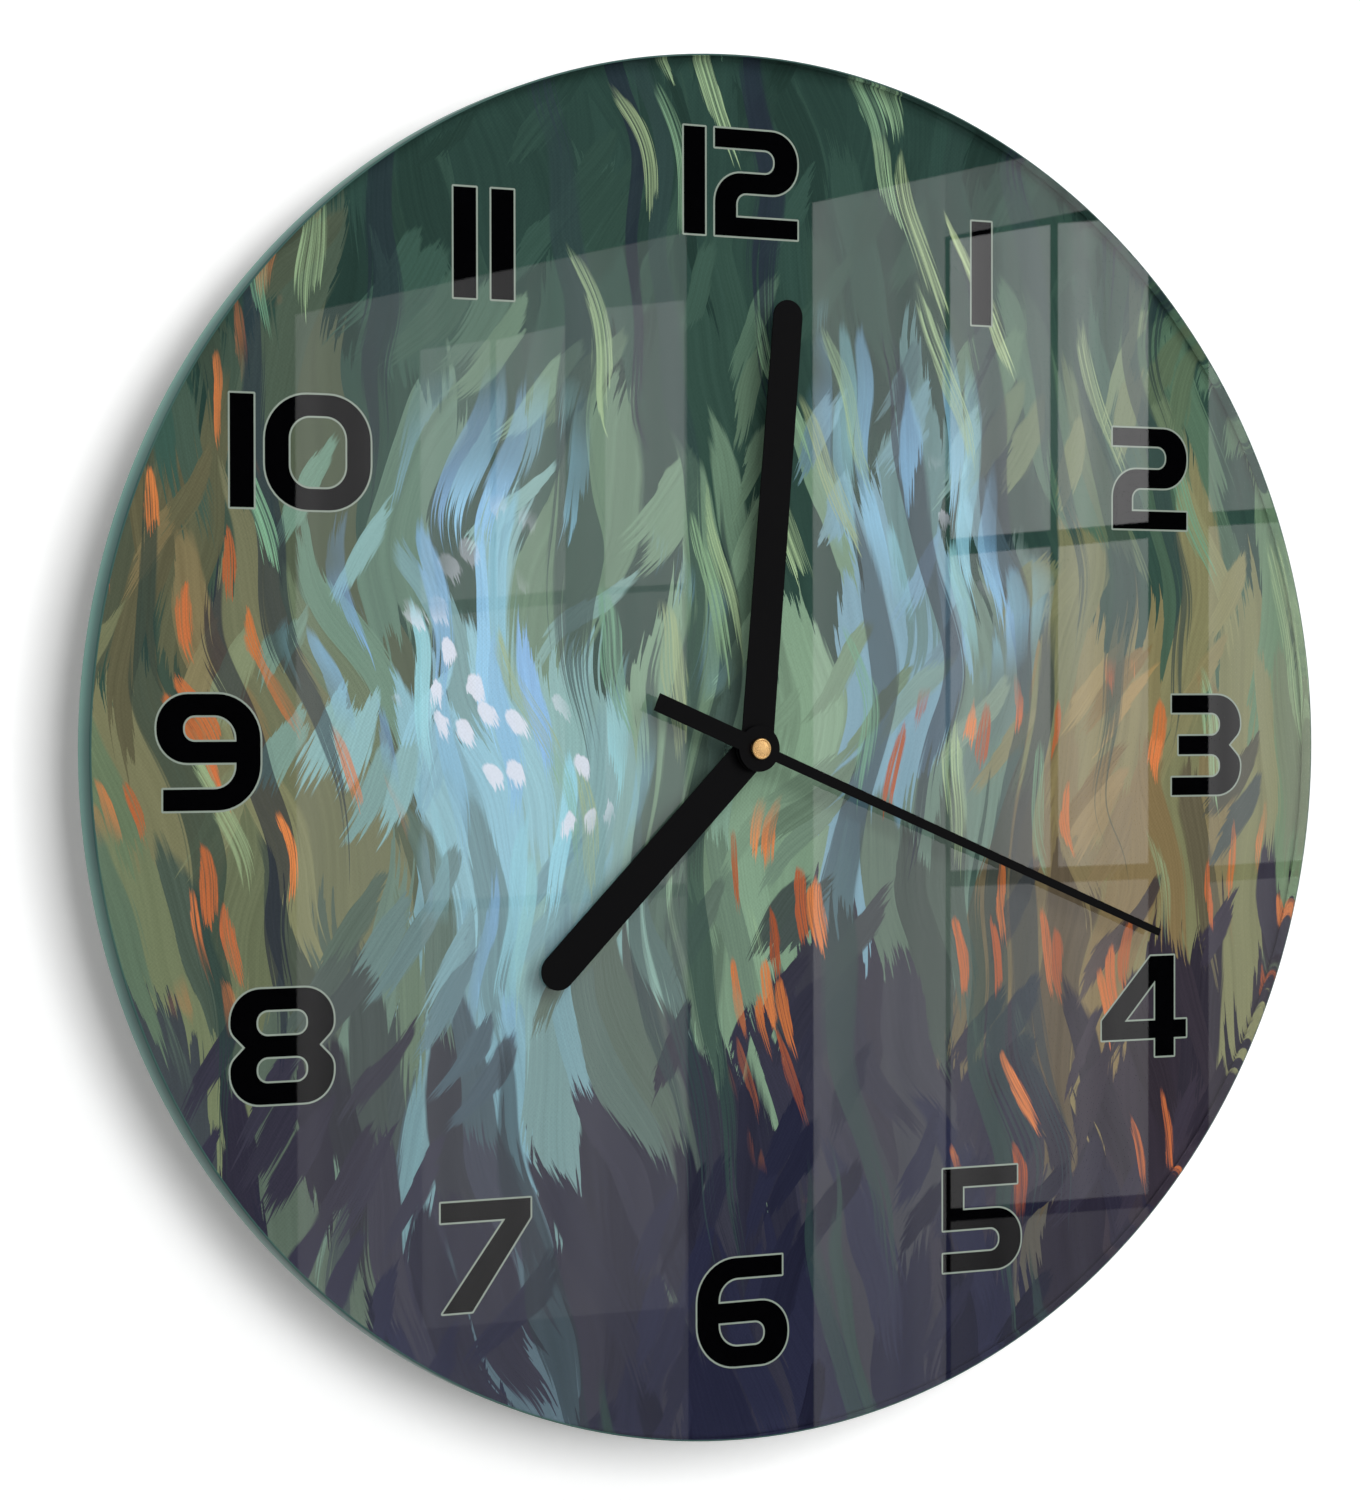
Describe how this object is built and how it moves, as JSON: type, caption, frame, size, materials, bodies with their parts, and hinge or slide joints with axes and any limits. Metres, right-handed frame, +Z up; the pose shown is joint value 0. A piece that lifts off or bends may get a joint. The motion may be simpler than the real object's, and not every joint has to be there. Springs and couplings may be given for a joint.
{
  "type": "wall clock",
  "caption": "Frameless round glass wall clock with a colourful printed dial, large numerals, black hands and a battery quartz movement behind.",
  "frame": {"origin": "on the hand axis, in the plane of the wall, which is the back face of the movement's rear cover", "axes": "+Z up towards 12, +X towards 3, -Y out of the dial towards the viewer, so +Y points into the wall"},
  "size_m": [0.3, 0.0308, 0.3],
  "materials": {
    "glass": "clear float glass, polished edges with a green tint",
    "print": "printed film seen through the glass, brushed abstract design on a dark ground",
    "numeral_ink": "opaque black ink",
    "keyline_ink": "opaque pale grey ink",
    "foam": "matte closed-cell foam tape",
    "case_plastic": "black, fine moulded texture",
    "cover_plastic": "black, fine moulded texture",
    "train_plastic": "natural white",
    "bush_brass": "turned",
    "motor_steel": "rolled sheet",
    "bobbin_plastic": "dark moulded",
    "copper_wire": "enamelled copper wire",
    "board_laminate": "green solder mask",
    "chip_resin": "black potting resin",
    "crystal_can": "drawn metal can",
    "contact_plate": "nickel plated spring strip",
    "screw_steel": "zinc plated",
    "hand_black": "matte black lacquer on sheet",
    "socket_brass": "turned",
    "hour_wheel_plastic": "natural acetal",
    "tube_plastic": "natural acetal",
    "spring_brass": "thin rolled sheet",
    "cap_brass": "turned and polished",
    "arbor_steel": "drawn wire",
    "wheel_plastic": "natural acetal",
    "drive_plastic": "yellow acetal",
    "motion_plastic": "blue acetal",
    "knob_plastic": "dark grey, moulded grip",
    "magnet": "sintered, dark grey",
    "rotor_plastic": "red acetal",
    "battery_sleeve": "printed sleeve with bare metal ends"
  },
  "bodies": {
    "clock": {"glass_dial": "glass", "artwork_print": "print", "hour_numerals": "numeral_ink", "numeral_keylines": "keyline_ink", "foam_mounting_pad": "foam", "front_case": "case_plastic", "rear_cover": "cover_plastic", "train_plate": "train_plastic", "centre_bush": "bush_brass", "stator": "motor_steel", "coil_core": "motor_steel", "coil_bobbin": "bobbin_plastic", "coil_winding": "copper_wire", "circuit_board": "board_laminate", "chip_cover": "chip_resin", "quartz_crystal": "crystal_can", "contact_plus": "contact_plate", "contact_minus": "contact_plate", "plate_screws": "screw_steel", "stator_screws": "screw_steel"},
    "hour": {"hour_hand": "hand_black", "hour_hand_socket": "socket_brass", "hour_wheel": "hour_wheel_plastic"},
    "minute": {"minute_hand": "hand_black", "minute_hand_socket": "socket_brass", "minute_tube": "tube_plastic", "clutch_spring": "spring_brass"},
    "second": {"second_hand": "hand_black", "second_hand_socket": "socket_brass", "second_hand_cap": "cap_brass", "second_arbor": "arbor_steel", "second_wheel": "wheel_plastic"},
    "third": {"third_wheel": "wheel_plastic"},
    "drive": {"minute_drive_wheel": "drive_plastic"},
    "motion": {"motion_wheel": "motion_plastic"},
    "setting": {"setting_knob": "knob_plastic", "setting_pinion": "motion_plastic"},
    "rotor": {"rotor_magnet": "magnet", "rotor_pinion": "rotor_plastic"},
    "intermediate": {"intermediate_wheel": "wheel_plastic"},
    "battery": {"aa_battery": "battery_sleeve"}
  },
  "joints": [
    {"name": "second_hand_turn", "type": "hinge", "parent": "clock", "child": "second", "pos_m": [0, 0, 0], "axis": [0, 1, 0], "continuous": true},
    {"name": "minute_hand_turn", "type": "hinge", "parent": "clock", "child": "minute", "pos_m": [0, 0, 0], "axis": [0, 1, 0], "continuous": true},
    {"name": "hour_hand_turn", "type": "hinge", "parent": "clock", "child": "hour", "pos_m": [0, 0, 0], "axis": [0, 1, 0], "continuous": true},
    {"name": "third_wheel_turn", "type": "hinge", "parent": "clock", "child": "third", "pos_m": [0.00902, 0, 0.00328], "axis": [0, 1, 0], "continuous": true},
    {"name": "drive_wheel_turn", "type": "hinge", "parent": "clock", "child": "drive", "pos_m": [0, 0, 0], "axis": [0, 1, 0], "continuous": true},
    {"name": "intermediate_wheel_turn", "type": "hinge", "parent": "clock", "child": "intermediate", "pos_m": [-0.00921, 0, 0.00335], "axis": [0, 1, 0], "continuous": true},
    {"name": "rotor_turn", "type": "hinge", "parent": "clock", "child": "rotor", "pos_m": [-0.01192, 0, 0.01079], "axis": [0, 1, 0], "continuous": true},
    {"name": "motion_wheel_turn", "type": "hinge", "parent": "clock", "child": "motion", "pos_m": [0, 0, 0.008], "axis": [0, 1, 0], "continuous": true},
    {"name": "setting_knob_turn", "type": "hinge", "parent": "clock", "child": "setting", "pos_m": [0.00514, 0, 0.01413], "axis": [0, 1, 0], "continuous": true},
    {"name": "battery_out", "type": "slide", "parent": "clock", "child": "battery", "axis": [0, 1, 0], "range_m": [0, 0.02]}
  ],
  "couplings": [
    {"joint": "third_wheel_turn", "follows": "second_hand_turn", "ratio": -0.125},
    {"joint": "drive_wheel_turn", "follows": "second_hand_turn", "ratio": 0.016667},
    {"joint": "intermediate_wheel_turn", "follows": "second_hand_turn", "ratio": -6},
    {"joint": "rotor_turn", "follows": "second_hand_turn", "ratio": 30},
    {"joint": "motion_wheel_turn", "follows": "minute_hand_turn", "ratio": -0.33333},
    {"joint": "hour_hand_turn", "follows": "minute_hand_turn", "ratio": 0.083333},
    {"joint": "setting_knob_turn", "follows": "minute_hand_turn", "ratio": 1}
  ]
}
